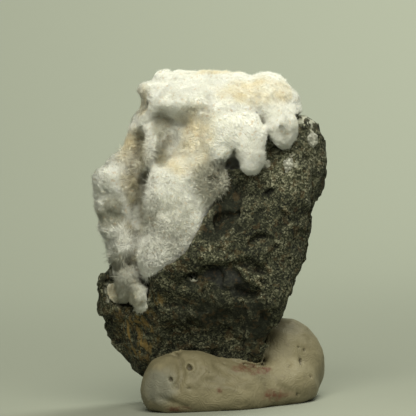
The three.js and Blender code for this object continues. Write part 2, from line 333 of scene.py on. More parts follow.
def front(grid, place):
    """Where a place in the view meets a grid's solid, in mm, and which way the surface faces there."""
    across, up = place[0] - AIM_MM[0], place[1] - AIM_MM[2]
    ray = upright(AIM_MM) + across * TO_RIGHT + up * TO_TOP - EYE_MM
    line = EYE_MM + SIGHT * ray
    values = value_at(grid, line)
    index = np.argmax(values < 0) if values.min() < 0 else np.argmin(values)
    steps = STEP * np.eye(3)
    normal = value_at(grid, line[index] + steps) - value_at(grid, line[index] - steps)
    return line[index], normal / (np.linalg.norm(normal) + 1e-9)


def swell(grid, strokes, face_y):
    """Swells the side of a grid's solid that faces the camera, or sinks it, with soft strokes in the view:
    (height, half width, places). Two half widths are for the left and the right of a stroke, which makes
    a step of it. The change fades out behind `face_y`."""
    ranges = (np.arange(low, high, VIEW_STEP) for low, high in zip(VIEW_LOW, VIEW_HIGH))
    across, up = np.meshgrid(*ranges, indexing="ij")
    heights = np.zeros(across.shape)
    for height, spread, *places in strokes:
        nearest = np.full(across.shape, 1e6)
        side = np.zeros(across.shape)
        for (u, w), (u_end, w_end) in zip(places, places[1:] or places):
            u_step, w_step = u_end - u, w_end - w
            along = ((across - u) * u_step + (up - w) * w_step) / (u_step ** 2 + w_step ** 2 + 1e-9)
            along = np.clip(along, 0, 1)
            away = (across - u - along * u_step) ** 2 + (up - w - along * w_step) ** 2
            side = np.where(away < nearest, (across - u) * w_step - (up - w) * u_step, side)
            nearest = np.minimum(nearest, away)
        left, right = spread if isinstance(spread, tuple) else (spread, spread)
        heights += height * np.exp(-nearest / np.where(side > 0, right, left) ** 2)
    chosen = np.nonzero(np.abs(grid) < BAND)
    points = LOW + STEP * np.stack(chosen, axis=1)
    rays = points - EYE_MM
    reach = CAMERA_DISTANCE_MM / -(rays @ np.array(to_camera))
    u = (AIM_MM[0] + reach * (rays @ TO_RIGHT) - VIEW_LOW[0]) / VIEW_STEP
    w = (AIM_MM[2] + reach * (rays @ TO_TOP) - VIEW_LOW[1]) / VIEW_STEP
    u = np.clip(u, 0, across.shape[0] - 2)
    w = np.clip(w, 0, across.shape[1] - 2)
    i, j = u.astype(int), w.astype(int)
    u, w = u - i, w - j
    height = ((heights[i, j] * (1 - w) + heights[i, j + 1] * w) * (1 - u)
              + (heights[i + 1, j] * (1 - w) + heights[i + 1, j + 1] * w) * u)
    grid[chosen] -= height * (1 - smooth(points[:, 1], face_y, face_y + FADE_DEPTH))


def mould(grid, strokes, blend, beside=None):
    """Raises strokes on a grid's solid, or presses them in: (height, half width, places in the view). They
    lie on what is seen there, which may be the solid beside it."""
    start = soften(grid, 2)
    if beside is not None:
        start = np.minimum(start, beside)
    for height, spread, *places in strokes:
        radius = (spread ** 2 + height ** 2) / (2 * abs(height))
        ends = list(zip(places, places[1:])) or [(places[0], places[0])]
        dots = [places[0]]
        for first, last in ends:
            count = max(1, round(math.dist(first, last) / (DOT_SPACING * spread)))
            way = np.subtract(last, first)
            dots += [tuple(np.add(first, way * i / count)) for i in range(1, count + 1)]
        for dot in dots:
            point, normal = front(start, dot)
            if height > 0:
                add_ball(grid, point + normal * (height - radius), (radius,) * 3, blend)
            else:
                cut_ball(grid, point + normal * (radius + height), (radius,) * 3, blend)


def piece_from(name, points, faces, material, values=None):
    """A smooth-shaded piece of the object from points in mm, with named values at its points. It is kept
    inside the CAD box."""
    points = np.clip(points, BOX_LOW, BOX_HIGH)
    mesh = bpy.data.meshes.new(name)
    mesh.vertices.add(len(points))
    mesh.vertices.foreach_set("co", (points * 0.001).astype(np.float32).ravel())
    mesh.loops.add(faces.size)
    mesh.loops.foreach_set("vertex_index", faces.astype(np.int32).ravel())
    mesh.polygons.add(len(faces))
    mesh.polygons.foreach_set("loop_start", np.arange(0, faces.size, faces.shape[1], dtype=np.int32))
    mesh.update(calc_edges=True)
    mesh.shade_smooth()
    for key, value in (values or {}).items():
        mesh.attributes.new(key, "FLOAT", "POINT").data.foreach_set("value", value.astype(np.float32))
    mesh.materials.append(material)
    piece = new_object(name, mesh)
    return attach(piece, "root")


basalt_form = depth_grid("basalt_matrix")
okenite_form = depth_grid("okenite_puffs")
putty_form = depth_grid("putty_holder")

# The broad breaks and ridges of the face: (height, half widths, places), for `swell`.
BREAKS = [
    (0.8, (4.5, 0.35), (8.3, 44.8), (7.2, 42.7), (6.3, 39.4), (5.4, 34.9), (4.0, 32.9)),
    (-0.7, (0.3, 2.6), (7.2, 43.0), (6.3, 39.4), (5.4, 34.9), (4.0, 33.1)),
    (0.4, 1.6, (15.5, 47.3), (15.8, 44.1)),
    (-0.3, 1.6, (13.3, 45.9), (11.9, 43.0)),
    (-0.5, 0.7, (10.4, 44.3)),
    (-2.0, 1.3, (21.1, 40.5), (19.6, 38.2)),
    (0.9, 1.0, (17.6, 43.4), (17.8, 39.8), (17.6, 37.1)),
    (0.6, 1.2, (9.7, 49.9), (10.4, 47.7)),
    (1.0, (4.0, 0.4), (-2.5, 24.7), (-1.1, 26.1), (0.5, 26.5), (4.0, 26.8), (5.6, 24.3), (7.4, 22.1),
     (7.6, 19.6), (7.0, 16.4), (6.5, 12.8)),
    (-0.8, (0.4, 3.0), (0.5, 25.7), (4.0, 26.1), (5.4, 23.8), (7.2, 21.6)),
    (0.8, 2.0, (-9.0, 21.8), (-6.1, 21.8), (-1.8, 19.6), (4.7, 18.9)),
    (-1.5, 5.0, (-6.1, 12.1), (0.9, 11.5)),
    (-1.2, 3.0, (5.4, 14.2), (7.2, 11.5)),
    (-0.8, 2.4, (13.5, 30.4), (12.6, 26.5)),
    (0.8, 2.0, (10.4, 34.7), (10.1, 28.6)),
    (-0.7, 2.0, (9.4, 21.4)),
    (0.6, 1.6, (-19.8, 18.5), (-18.4, 16.4)),
    (-0.7, 1.4, (-15.1, 15.7), (-12.6, 14.2)),
    (0.5, 1.6, (-14.8, 11.5), (-12.6, 9.5)),
    (-0.6, 1.2, (-17.6, 11.5), (-16.6, 9.2)),
]
# Small holes and nicks in it: (height, half width, places), for `mould`.
EDGES = [
    (-0.8, 0.35, (10.3, 38.9), (11.3, 39.4)),
    (-0.5, 0.35, (3.4, 28.3), (4.1, 28.1)),
    (-0.5, 0.35, (3.8, 26.3), (4.5, 26.1)),
    (-0.6, 0.45, (11.9, 29.2)),
    (-1.0, 0.7, (-3.2, 24.1)),
    (-0.5, 0.35, (7.6, 38.5), (8.1, 38.9)),
    (-1.0, 0.5, (5.0, 35.1)),
    (-0.9, 0.7, (-19.3, 25.4)),
]
BASALT_FACE_Y = -2.0
# Flat faces all over the stone, from coarse to fine: (height, size, seed).
FACES = ((0.9, 7.0, 2.0), (0.35, 2.8, 3.0), (0.12, 1.2, 4.0))
FACE_REACH = 1.5
FACE_BEND = 0.6
GLASSY = [((1.0, -12, 24.8), (2.3, 5, 1.5), 3.0), ((3.0, -12, 24.2), (2.6, 5, 2.1), 3.0),
          ((5.3, -12, 22.2), (2.0, 5, 1.6), 3.0)]
CHIP_COUNT = 260
CHIP_RADII = (0.8, 2.6)
CHIP_TILT = 0.25
CHIP_DEPTH = 0.1
HOLE_COUNT = 160
HOLE_RADII = (0.15, 0.35)
HOLE_SHAPE = (1.3, 1.0, 0.8)
HOLE_DEPTH = 0.2
# How far the broken stone may stand out of its solid.
TALLEST_RIDGE = 1.1


def cut_chip(grid, point, facing, radius, depth):
    """Strikes a flat chip off a grid's solid: everything above a plane, within a radius of a point."""
    part, places = block(point, radius + STEP)
    rise = sum((place - p) * f for place, p, f in zip(places, point, facing)) + depth
    away = np.sqrt(sum((place - p) ** 2 for place, p in zip(places, point))) - radius
    grid[part] = np.maximum(grid[part], -np.maximum(-rise, away))


basalt_grid = soften(basalt_form, 2) - 0.1
swell(basalt_grid, BREAKS, BASALT_FACE_Y)
chosen = np.nonzero(np.abs(basalt_grid) < FACE_REACH)
places = LOW + STEP * np.stack(chosen, axis=1)
places = places + FACE_BEND * drift(places, 2.5, 2, (61.0, 67.0, 71.0))
for height, size, seed in FACES:
    basalt_grid[chosen] += height * facets(places, size, seed)
rough_points, rough_faces = grid_surface(basalt_grid)
rough_normals = point_normals(rough_points, rough_faces)
chip_rng = np.random.default_rng(11)
for index in chip_rng.integers(0, len(rough_points), CHIP_COUNT):
    radius = chip_rng.uniform(*CHIP_RADII)
    facing = rough_normals[index] + CHIP_TILT * chip_rng.normal(size=3)
    facing /= np.linalg.norm(facing)
    depth = CHIP_DEPTH * radius * chip_rng.uniform(0.3, 1.0)
    cut_chip(basalt_grid, rough_points[index], facing, radius, depth)
for index in chip_rng.integers(0, len(rough_points), HOLE_COUNT):
    radius = chip_rng.uniform(*HOLE_RADII)
    centre = rough_points[index] - HOLE_DEPTH * rough_normals[index]
    cut_ball(basalt_grid, centre, tuple(radius * part for part in HOLE_SHAPE), 0.1)
mould(basalt_grid, EDGES, 0.2)
basalt_grid = np.maximum(basalt_grid, basalt_form - TALLEST_RIDGE)

# Under the okenite and the putty the stone stays whole, a little inside its solid.
share = smooth(np.minimum(okenite_form, putty_form), 0.0, 1.0)
basalt_grid = share * basalt_grid + (1 - share) * (basalt_form + 0.2)

basalt_points, basalt_faces, basalt_normals = main_surface(basalt_grid)
knobs, gaps = cells(basalt_points, 0.8, 4.0)
grain = 0.05 * relief(basalt_points, 2.2, 2, 3.0) + 0.09 * relief(basalt_points, 0.7, 2, 5.0)
grain += 0.07 * (gaps - knobs - 0.25)
grain *= 1 - 0.8 * patches(basalt_points, GLASSY, 0.2)
basalt_points = basalt_points + basalt_normals * grain[:, None]
# Ridges above zero and hollows below: the ridges get a painted highlight and the hollows painted shade.
sharpness = value_at(soften(basalt_grid, 6) - basalt_grid, basalt_points) + 0.3 * grain


def new_material(name, constants):
    """A material with its node tree and its Principled shader, and what is the same all over it."""
    material = bpy.data.materials.new(name)
    material.use_nodes = True
    shader = material.node_tree.nodes["Principled BSDF"]
    for key, value in constants.items():
        shader.inputs[key].default_value = value
    return material, material.node_tree, shader


def feed(tree, socket, value):
    """Gives a node's input its value, or links it from another node's output."""
    if isinstance(value, bpy.types.NodeSocket):
        tree.links.new(value, socket)
    else:
        socket.default_value = value


def add_node(tree, kind, inputs=None, **settings):
    """A shader node with its settings and its inputs."""
    node = tree.nodes.new("ShaderNode" + kind)
    for key, value in settings.items():
        setattr(node, key, value)
    for key, value in (inputs or {}).items():
        feed(tree, node.inputs[key], value)
    return node


def add_math(tree, operation, *values):
    """A Math node's result, from values or sockets."""
    return add_node(tree, "Math", dict(enumerate(values)), operation=operation).outputs[0]


# Where a Mix node has its share, its two colours and, among the outputs, its mixed colour.
MIX_SHARE, MIX_FIRST, MIX_SECOND, MIX_RESULT = 0, 6, 7, 2


def times(tree, first, second):
    """A Math node's product of two values or sockets."""
    return add_math(tree, "MULTIPLY", first, second)


def add_mix(tree, share, first, second, blend="MIX"):
    """Two colours mixed by a share; all three may be sockets."""
    inputs = {MIX_SHARE: share, MIX_FIRST: first, MIX_SECOND: second}
    node = add_node(tree, "Mix", inputs, data_type="RGBA", blend_type=blend, clamp_factor=True)
    return node.outputs[MIX_RESULT]


def add_ramp(tree, value, *stops):
    """A colour or grey ramp over a value: stops are (place, colour or grey)."""
    node = add_node(tree, "ValToRGB", {0: value})
    while len(node.color_ramp.elements) < len(stops):
        node.color_ramp.elements.new(0.5)
    for element, (place, colour) in zip(node.color_ramp.elements, stops):
        element.position = place
        element.color = (*colour, 1) if isinstance(colour, tuple) else (colour, colour, colour, 1)
    return node.outputs[0]


def add_attribute(tree, name, strength=1.0):
    """The values that a mesh has at its points under a name, times a strength."""
    value = add_node(tree, "Attribute", attribute_name=name).outputs["Fac"]
    return times(tree, value, strength)


def add_bump(tree, shader, height, strength, distance):
    """Small relief on a material: a height from 0 to 1, over a distance in metres."""
    bump = add_node(tree, "Bump", {"Height": height, "Strength": strength, "Distance": distance})
    feed(tree, shader.inputs["Normal"], bump.outputs[0])


def new_group(name, inputs, outputs):
    """A shader node group with named float inputs (name: start value) and float outputs, and the sockets
    that its own nodes take from and give to."""
    tree = bpy.data.node_groups.new(name, "ShaderNodeTree")
    for key, value in inputs.items():
        tree.interface.new_socket(key, in_out="INPUT", socket_type="NodeSocketFloat").default_value = value
    for key in outputs:
        tree.interface.new_socket(key, in_out="OUTPUT", socket_type="NodeSocketFloat")
    return tree, tree.nodes.new("NodeGroupInput").outputs, tree.nodes.new("NodeGroupOutput").inputs


# Grains: packed crystals of one size with ragged edges, each with its own grey from 0 to 1.
grains, given, result = new_group("grains", {"Size mm": 0.4, "Ragged": 0.5, "Shift": 0.0}, ["Value"])
where = add_node(grains, "TexCoord").outputs["Object"]
scale = add_math(grains, "DIVIDE", 1000.0, given["Size mm"])
ragged_scale = times(grains, scale, 1.5)
ragged = add_node(grains, "TexNoise", {"Vector": where, "Scale": ragged_scale}).outputs["Color"]
bend = add_node(grains, "VectorMath", {0: ragged, 1: (0.5, 0.5, 0.5)}, operation="SUBTRACT")
amount = add_math(grains, "DIVIDE", given["Ragged"], scale)
bend = add_node(grains, "VectorMath", {0: bend.outputs[0], "Scale": amount}, operation="SCALE")
bent = add_node(grains, "VectorMath", {0: where, 1: bend.outputs[0]}, operation="ADD").outputs[0]
moved = add_node(grains, "VectorMath", {0: bent, 1: given["Shift"]}, operation="ADD")
voronoi = add_node(grains, "TexVoronoi", {"Vector": moved.outputs[0], "Scale": scale})
grey = add_node(grains, "SeparateColor", {0: voronoi.outputs["Color"]}).outputs[0]
feed(grains, result["Value"], grey)

# Mottle: cloudy unevenness from 0 to 1, with its own size, sharpness and place.
mottle, given, result = new_group("mottle", {"Size mm": 2.0, "Sharpness": 2.0, "Shift": 0.0}, ["Value"])
where = add_node(mottle, "TexCoord").outputs["Object"]
scale = add_math(mottle, "DIVIDE", 1000.0, given["Size mm"])
moved = add_node(mottle, "VectorMath", {0: where, 1: given["Shift"]}, operation="ADD").outputs[0]
cloud = add_node(mottle, "TexNoise", {"Vector": moved, "Scale": scale, "Detail": 4.0, "Roughness": 0.6})
centred = add_math(mottle, "SUBTRACT", cloud.outputs["Fac"], 0.5)
steep = times(mottle, centred, given["Sharpness"])
level = add_node(mottle, "Math", {0: steep, 1: 0.5}, operation="ADD", use_clamp=True)
feed(mottle, result["Value"], level.outputs[0])


def add_grains(tree, size, ragged, shift=0.0):
    """The grains group in a material: the grains' greys."""
    inputs = {"Size mm": size, "Ragged": ragged, "Shift": shift}
    return add_node(tree, "Group", inputs, node_tree=grains).outputs["Value"]


def add_mottle(tree, size, sharpness, shift=0.0):
    """The mottle group in a material: its clouds."""
    inputs = {"Size mm": size, "Sharpness": sharpness, "Shift": shift}
    return add_node(tree, "Group", inputs, node_tree=mottle).outputs["Value"]


basalt_material, tree, shader = new_material("basalt", {"Specular IOR Level": 0.3})
fine = add_grains(tree, 0.25, 1.2)
coarse = add_grains(tree, 0.75, 1.5, 0.3)
cloud = add_mottle(tree, 2.6, 3.0)
mixed = times(tree, fine, 0.62)
for part, weight in ((coarse, 0.18), (cloud, 0.2)):
    mixed = add_math(tree, "ADD", mixed, times(tree, part, weight))
lava = add_ramp(tree, mixed, (0.22, (0.005, 0.006, 0.0035)), (0.45, (0.022, 0.024, 0.013)),
                (0.65, (0.058, 0.060, 0.035)), (0.88, (0.19, 0.185, 0.125)))
# A lighter tone, partly dust and partly painted light on faces that turn to the lamp, and a painted highlight
# on ridges.
dust_and_light_tone = add_ramp(tree, mixed, (0.22, (0.018, 0.019, 0.011)), (0.45, (0.055, 0.057, 0.033)),
                 (0.65, (0.14, 0.14, 0.09)), (0.88, (0.36, 0.35, 0.26)))
# Painted shade darkens the lower face that turns down and the recess under the okenite.
for mask, strength, layer in (("dust_and_light", 0.8, dust_and_light_tone), ("painted_shade", 0.85, (0.009, 0.011, 0.006, 1)),
                              ("edge", 0.7, dust_and_light_tone), ("glassy", 0.85, (0.006, 0.007, 0.006, 1))):
    lava = add_mix(tree, add_attribute(tree, mask, strength), lava, layer)
where = add_node(tree, "TexCoord").outputs["Object"]
slant = (0, math.radians(-35), 0)
streaks = add_node(tree, "Mapping", {"Vector": where, "Rotation": slant, "Scale": (1300, 1300, 200)})
streaky = add_node(tree, "TexNoise", {"Vector": streaks.outputs[0], "Scale": 1.0, "Detail": 4.0})
rust = add_ramp(tree, streaky.outputs["Fac"], (0.47, 0.0), (0.60, 1.0))
rust = times(tree, rust, add_attribute(tree, "rusty", 0.85))
lava = add_mix(tree, rust, lava, (0.23, 0.15, 0.045, 1))
flecks = add_ramp(tree, coarse, (0.35, 0.0), (0.6, 1.0))
flecks = times(tree, flecks, add_attribute(tree, "crust"))
lava = add_mix(tree, flecks, lava, (0.50, 0.50, 0.42, 1))
spots = add_ramp(tree, add_mottle(tree, 1.5, 6.0, 0.5), (0.9, 0.0), (1.0, 1.0))
lava = add_mix(tree, times(tree, spots, 0.2), lava, (0.14, 0.08, 0.03, 1))
# Painted shade: the colour darkens in the stone's hollows.
shade = add_math(tree, "SUBTRACT", 1.0, add_attribute(tree, "crevice_shade", 0.8))
shade = add_node(tree, "CombineColor", {0: shade, 1: shade, 2: shade}).outputs[0]
feed(tree, shader.inputs["Base Color"], add_mix(tree, 1.0, lava, shade, "MULTIPLY"))
rough = add_math(tree, "SUBTRACT", 0.85, add_attribute(tree, "glassy", 0.15))
feed(tree, shader.inputs["Roughness"], rough)
height = add_math(tree, "ADD", fine, add_mottle(tree, 0.5, 2.0))
relieved = add_math(tree, "SUBTRACT", 1.0, add_attribute(tree, "glassy", 0.85))
add_bump(tree, shader, times(tree, height, relieved), 0.8, 0.00015)

# Painted shade, dust and painted light, white crust and rust: (centre, radii, strength), for `patches`.
PAINTED_SHADE = [((0, -11, 15), (9, 6, 7.0)), ((-6, -11, 8), (5, 6, 3)), ((3.6, -10, 38), (3.0, 5, 7.5)),
        ((0.5, -11, 33), (3, 5, 3)), ((1.6, -10, 37.0), (3.5, 6, 3.5)),
        ((-3, -12, 23.5), (2.5, 4, 1.6)), ((8, -10, 16), (3, 6, 6))]
DUST_AND_LIGHT = [((15, -5, 45), (7, 8, 7)), ((12, -9, 42), (5, 5, 3)), ((0.2, -12, 27.6), (3.6, 4, 1.3), 1.7),
        ((1.8, -12, 29.4), (2.0, 4, 2.4), 1.4), ((-17, -8, 19), (4, 6, 3.5))]
CRUST = [((17.5, -2, 52.0), (2.5, 5, 1.2)), ((-2.8, -11, 24), (0.9, 4, 0.5)),
         ((18.4, -6, 49.2), (1.2, 4, 1.9)), ((14.5, -8, 44.5), (1.0, 4, 1.4))]
RUSTY = [((-15, -8, 13), (6.5, 9, 8)), ((-9, -11, 13), (4, 6, 5)), ((-10, -11, 20), (3, 4, 2))]
crust = value_at(okenite_form, basalt_points) + 0.5 * relief(basalt_points, 1.2, 3, 15.0)
crust = 0.8 * (1 - smooth(crust, 0.1, 0.8))
basalt = piece_from(
    "basalt_broken", basalt_points, basalt_faces, basalt_material,
    {"edge": smooth(sharpness, 0.1, 0.45), "crevice_shade": smooth(-sharpness, 0.1, 0.5),
     "glassy": patches(basalt_points, GLASSY, 0.2), "rusty": patches(basalt_points, RUSTY),
     "painted_shade": patches(basalt_points, PAINTED_SHADE, 0.4), "dust_and_light": patches(basalt_points, DUST_AND_LIGHT, 0.4),
     "crust": np.maximum(crust, patches(basalt_points, CRUST, 0.8, 1.0))},
)
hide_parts("basalt_matrix")

# ---------------------------------------------------------------- amygdules
# Gas bubbles in the lava that filled with white zeolite: small uneven knots of crystals, broken across
# nearly flush with the stone.

zeolite_material, tree, shader = new_material("zeolite", {"Roughness": 0.35})
crystals = add_grains(tree, 0.35, 0.6, 0.2)
milky = add_ramp(tree, crystals, (0.0, (0.20, 0.20, 0.17)), (0.7, (0.34, 0.34, 0.29)),
                 (1.0, (0.60, 0.60, 0.54)))
feed(tree, shader.inputs["Base Color"], milky)
add_bump(tree, shader, crystals, 0.8, 0.0002)

KNOT_SPREAD = (1.5, 1.0, 1.4)
AMYGDULES = ("zeolite_amygdule_middle", "zeolite_amygdule_left", "zeolite_amygdule_top")
for number, name in enumerate(AMYGDULES):
    low, high = (np.array(corner) * 1000 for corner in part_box(name))
    ball = bmesh.new()
    bmesh.ops.create_icosphere(ball, subdivisions=5, radius=1)
    knot = np.array([vertex.co for vertex in ball.verts])
    knot_faces = np.array([[vertex.index for vertex in face.verts] for face in ball.faces])
    ball.free()
    knot *= 0.5 * (high - low) * KNOT_SPREAD
    near, _ = cells(knot, 0.7, 2.0 + number)
    knot *= (0.9 + 0.3 * relief(knot, 1.2, 2, 1.0 + number) - 0.15 * near)[:, None]
    knots = piece_from(name + "_crystals", knot + 0.5 * (low + high), knot_faces, zeolite_material)
    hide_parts(name)

# ---------------------------------------------------------------- okenite puffs
# Balls of white mineral fibres that grew from the wall of the hollow until they met: one soft mass with
# bumps, folds and dark channels, fuzzy with the tips of its fibres.

# The lobes, folds and channels of the mass: (height, half widths, places), for `swell`.
FORMS = [
    (1.0, 1.6, (-5.0, 60.7), (-1.8, 61.0), (1.8, 61.0), (5.0, 60.5)),
    (1.3, 1.4, (-9.4, 54.9), (-6.8, 54.5), (-4.3, 54.7), (-2.2, 55.4)),
    (0.8, 1.8, (10.4, 58.9), (10.8, 57.1)),
    (-0.2, 1.2, (7.9, 59.6), (7.6, 57.4)),
    (0.9, 1.9, (0.0, 53.5), (2.5, 53.6), (6.1, 53.8), (9.4, 53.8)),
    (1.1, 1.6, (0.4, 52.4), (4.0, 52.6), (7.2, 52.6)),
    (-0.3, 0.6, (1.1, 52.0), (4.0, 52.3), (7.6, 52.2), (9.0, 51.3)),
    (0.6, 1.0, (1.8, 51.1), (5.0, 51.3), (7.9, 50.8)),
    (1.3, 2.2, (0.4, 47.7), (2.2, 49.9)),
    (0.8, 1.6, (11.9, 53.5), (14.0, 53.5), (15.8, 53.1)),
    (-1.2, 1.6, (15.5, 58.1), (16.9, 56.0)),
    (-0.9, 1.2, (-11.0, 60.1)),
    (-1.0, 1.4, (-9.7, 51.7), (-7.6, 51.7)),
    (-0.3, 1.4, (-6.1, 52.0), (-5.0, 51.7)),
    (-0.7, 2.6, (-3.6, 50.2), (-3.2, 48.1)),
    (-1.3, 1.6, (-7.9, 48.1), (-9.0, 44.8)),
    (1.1, 1.1, (-11.5, 57.4)),
    (0.7, 0.6, (-9.7, 57.8), (-10.6, 56.2), (-10.4, 54.7)),
    (0.6, 0.6, (-11.2, 52.9), (-12.6, 51.5), (-13.9, 50.6)),
    (-1.0, 1.0, (-11.9, 56.0), (-12.1, 54.5)),
    (2.2, (1.4, 0.6), (-9.7, 49.5), (-10.6, 47.3), (-11.3, 45.7), (-12.4, 43.9)),
    (-1.5, 1.0, (-12.1, 48.8), (-12.4, 47.0), (-13.3, 45.2)),
    (-2.0, (0.4, 1.9), (-11.2, 42.7), (-11.3, 39.8), (-11.7, 37.3), (-11.7, 35.1), (-11.3, 32.9)),
    (-1.0, 1.2, (-13.3, 31.1), (-13.9, 28.6)),
    (-0.8, 2.4, (-14.4, 46.6), (-15.1, 44.8)),
    (0.7, 2.0, (-6.1, 43.4)),
    (0.8, 3.0, (-7.7, 40.1), (-7.6, 38.0)),
    (0.7, 2.6, (-6.8, 36.2), (-6.8, 33.3)),
    (0.6, 1.0, (-1.3, 36.2), (-2.2, 33.7), (-3.2, 31.1), (-5.0, 29.0), (-7.6, 27.5), (-9.7, 25.4)),
    (0.6, 1.6, (-8.3, 29.7), (-10.1, 26.5)),
    (1.0, (2.2, 0.5), (-10.4, 41.2), (-10.8, 39.4), (-11.2, 37.3), (-11.2, 35.3), (-10.8, 33.1),
     (-12.3, 30.1), (-12.7, 28.1), (-12.3, 26.3), (-11.5, 23.9)),
    (-0.8, 1.2, (-9.9, 37.3), (-9.7, 34.7), (-9.7, 32.2)),
    (1.8, 2.4, (-17.8, 40.9)),
    (-1.6, 1.5, (-20.0, 44.5)),
    (0.5, 1.2, (-18.7, 38.9), (-17.3, 38.9)),
    (-0.6, 1.2, (-14.8, 43.4), (-14.9, 40.9)),
    (0.9, 1.8, (-18.2, 36.4)),
    (-0.6, 0.9, (-20.0, 34.4), (-18.2, 34.6), (-16.6, 34.9)),
    (0.8, 1.6, (-18.0, 32.2)),
    (-0.5, 0.9, (-17.6, 30.4), (-19.1, 30.8)),
    (1.3, 1.3, (-14.9, 29.2)),
    (0.9, 1.2, (-16.4, 27.0)),
    (-0.8, 0.6, (-14.6, 26.6)),
    (-0.9, 1.5, (-19.4, 25.0)),
    (0.4, 1.2, (-13.3, 25.0), (-14.0, 23.6)),
    (-0.6, 1.3, (-15.5, 22.1), (-17.3, 21.2)),
    (0.3, 1.0, (-13.7, 22.5), (-13.3, 21.1)),
    (0.5, 1.0, (-17.3, 20.2)),
    (0.4, 0.6, (-15.5, 23.2), (-15.7, 19.6)),
    (-0.4, 0.4, (-14.9, 22.5), (-14.9, 19.3)),
    (0.4, 0.5, (-14.4, 23.2), (-14.2, 19.6)),
    (-0.8, 0.5, (-13.8, 21.8), (-13.7, 18.5)),
    (0.6, 0.5, (-13.3, 21.8), (-12.8, 18.2)),
    (-0.5, 0.4, (-12.8, 21.4), (-12.1, 18.2)),
    (0.6, 0.5, (-12.4, 21.4), (-11.2, 17.8)),
    (0.5, 1.4, (0.7, 44.8), (0.7, 42.7)),
    (0.9, 1.1, (2.0, 45.4)),
    (0.5, 1.2, (2.9, 41.9), (2.2, 39.4)),
    (-0.6, 0.8, (1.6, 41.9), (0.4, 40.5)),
    (0.8, 1.4, (-1.1, 40.1), (-1.4, 37.6)),
    (1.1, 2.4, (0.9, 48.1), (2.2, 48.8), (4.7, 48.8), (6.8, 48.4)),
    (1.2, 1.1, (2.5, 46.3), (4.7, 46.1)),
    (1.2, 1.5, (3.8, 48.2)),
    (-0.5, 0.7, (10.1, 43.0)),
    (1.0, 1.3, (7.4, 43.7)),
    (0.6, 1.2, (5.8, 46.6)),
    (1.4, 1.8, (7.9, 45.2), (7.4, 43.7)),
    (-0.6, 0.6, (4.3, 46.1), (2.7, 48.1)),
    (-0.6, 0.6, (4.7, 46.3), (5.6, 48.8)),
    (-0.6, 0.6, (4.5, 46.3), (4.1, 49.5)),
    (0.7, 1.5, (11.2, 51.7), (12.8, 51.3), (14.6, 51.3)),
    (0.9, 1.4, (16.0, 51.8), (17.8, 51.8)),
    (1.9, 1.8, (12.6, 50.6), (12.8, 48.8)),
    (0.6, 0.7, (11.0, 51.3), (11.3, 49.5), (12.2, 47.5)),
    (0.6, 0.7, (15.3, 50.9), (14.6, 49.0), (13.3, 47.3)),
]
# Its small holes and one knob: (height, half width, places), for `mould`.
PITS = [
    (0.3, 1.0, (-8.8, 60.5)),
    (-0.7, 0.4, (-11.3, 56.0), (-11.3, 54.9), (-11.3, 54.0)),
    (-0.6, 0.35, (-1.3, 53.8)),
    (-0.6, 0.35, (-0.5, 53.5)),
    (-0.5, 0.3, (-0.7, 54.4)),
    (-0.6, 0.3, (12.8, 50.6), (13.0, 49.9)),
    (-0.6, 0.35, (15.7, 51.2)),
    (-0.6, 0.35, (16.6, 52.4)),
    (-0.9, 0.45, (4.3, 45.9)),
    (-0.8, 0.45, (1.6, 42.7)),
    (-0.8, 0.4, (0.5, 43.4)),
    (-0.8, 0.4, (2.9, 41.0)),
    (-0.8, 0.4, (-14.6, 26.5)),
]
OKENITE_FACE_Y = 2.0
# How far the mass starts inside its solid's surface, which leaves room for the fibres.
PILE = 0.3
CROWN_EDGE = (2.0, 1.0, 60.9)
CROWN_SLOPE = math.radians(30)
FOREMOST = (0.0, BOX_LOW[1] + 1.0, 40.0)
UPRIGHT_SLOPE = math.radians(90)
# How far the mass may stand out of its solid.
TALLEST_LOBE = 3.2


def pare(grid, place, slope, blend):
    """Pares a grid's solid down to a plane that leans towards the camera, rounding its edges."""
    _, places = block(upright(place), 100.0)
    spot = upright(place)
    behind = (places[1] - spot[1]) * math.sin(slope)
    plane = (places[2] - spot[2]) * math.cos(slope) - behind + 0 * places[0]
    grid[:] = rounded_max(grid, plane, blend)


okenite_grid = soften(okenite_form, 3) + PILE * smooth(basalt_form, 0.3, 1.2)
pare(okenite_grid, CROWN_EDGE, CROWN_SLOPE, 2.0)
swell(okenite_grid, FORMS, OKENITE_FACE_Y)
okenite_grid = soften(okenite_grid, 2)
pare(okenite_grid, FOREMOST, UPRIGHT_SLOPE, 2.0)
mould(okenite_grid, PITS, 0.3, basalt_form)

# It stays inside its solid's outline as seen from the front, and stands out of its solid no further than
# a lobe may. Where it meets the stone it is at least as large as its solid.
okenite_grid = np.maximum(okenite_grid, okenite_form.min(axis=1, keepdims=True))
okenite_grid = np.maximum(okenite_grid, okenite_form - TALLEST_LOBE)
okenite_grid = np.minimum(okenite_grid, np.maximum(okenite_form - 0.1, basalt_form - 0.5))

# Each puff's fibres spread from where they began to grow, behind its surface.
STARTS = [(-5, -4, 56), (4, -3, 55), (11, -2, 54.5), (-10.5, -2, 57), (4.5, -6, 47.5), (7.6, -8, 45.5),
          (12.8, -4, 52), (0.5, -6, 41), (-3.0, -3, 48), (-9, -3, 48), (-14, -3, 46), (-7.5, -6, 40),
          (-6.5, -6, 34), (-9.5, -6, 27.5), (-16.5, -4, 41.5), (-16.5, -4, 36), (-15.0, -3, 30),
          (-8, 7, 57), (0, 8, 57), (8, 8, 57), (13, 6, 55), (-15, 7, 45), (-15, 7, 38), (-14, 6, 32)]
DRIFT_SEEDS = (31.0, 47.0, 59.0)
GROWTH_BEND = 0.8
PUFF_CRISPNESS = 1.6


def unit(vectors):
    """Vectors of length 1 along the given ones."""
    return vectors / (np.linalg.norm(vectors, axis=-1, keepdims=True) + 1e-9)


